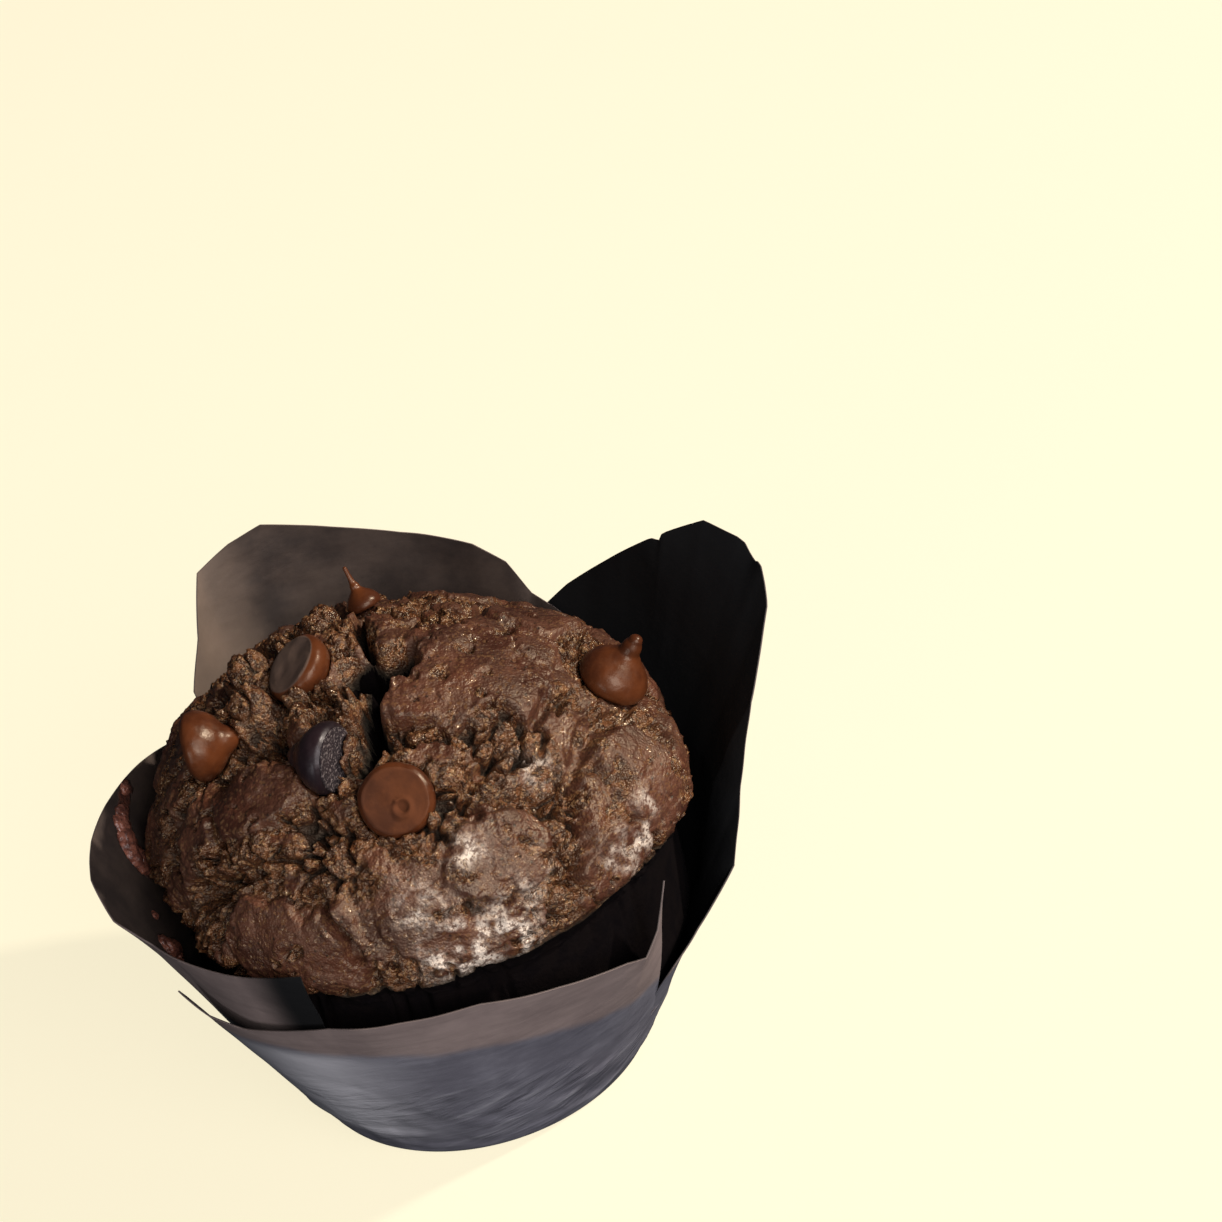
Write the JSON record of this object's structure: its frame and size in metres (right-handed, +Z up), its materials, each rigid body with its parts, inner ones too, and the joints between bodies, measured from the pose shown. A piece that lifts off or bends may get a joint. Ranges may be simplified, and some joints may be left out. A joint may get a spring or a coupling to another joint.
{
  "type": "muffin",
  "caption": "Chocolate muffin with chocolate chips on a cracked crown, in a flared tulip paper case whose flaps stand up round it.",
  "frame": {"origin": "centre of the flat underside of the paper case", "axes": "+Z up through the crown, -Y towards the side with the front flap, +X towards the tallest flap"},
  "size_m": [0.1036, 0.087, 0.0755],
  "materials": {
    "crumb": "baked chocolate crumb, rough and oily, with smoother plates of crust",
    "paper": "dark brown greaseproof paper, matte, a little glossy where grease has soaked in",
    "milk_chocolate": "milk chocolate, satin",
    "dark_chocolate": "dark chocolate with a dusty bloom"
  },
  "bodies": {
    "root": {"cake": "crumb", "paper_case": "paper", "chip_front": "milk_chocolate", "chip_dark": "dark_chocolate", "chip_crest": "milk_chocolate", "chip_left": "milk_chocolate", "chip_right": "milk_chocolate", "chip_melted": "milk_chocolate"}
  },
  "joints": []
}
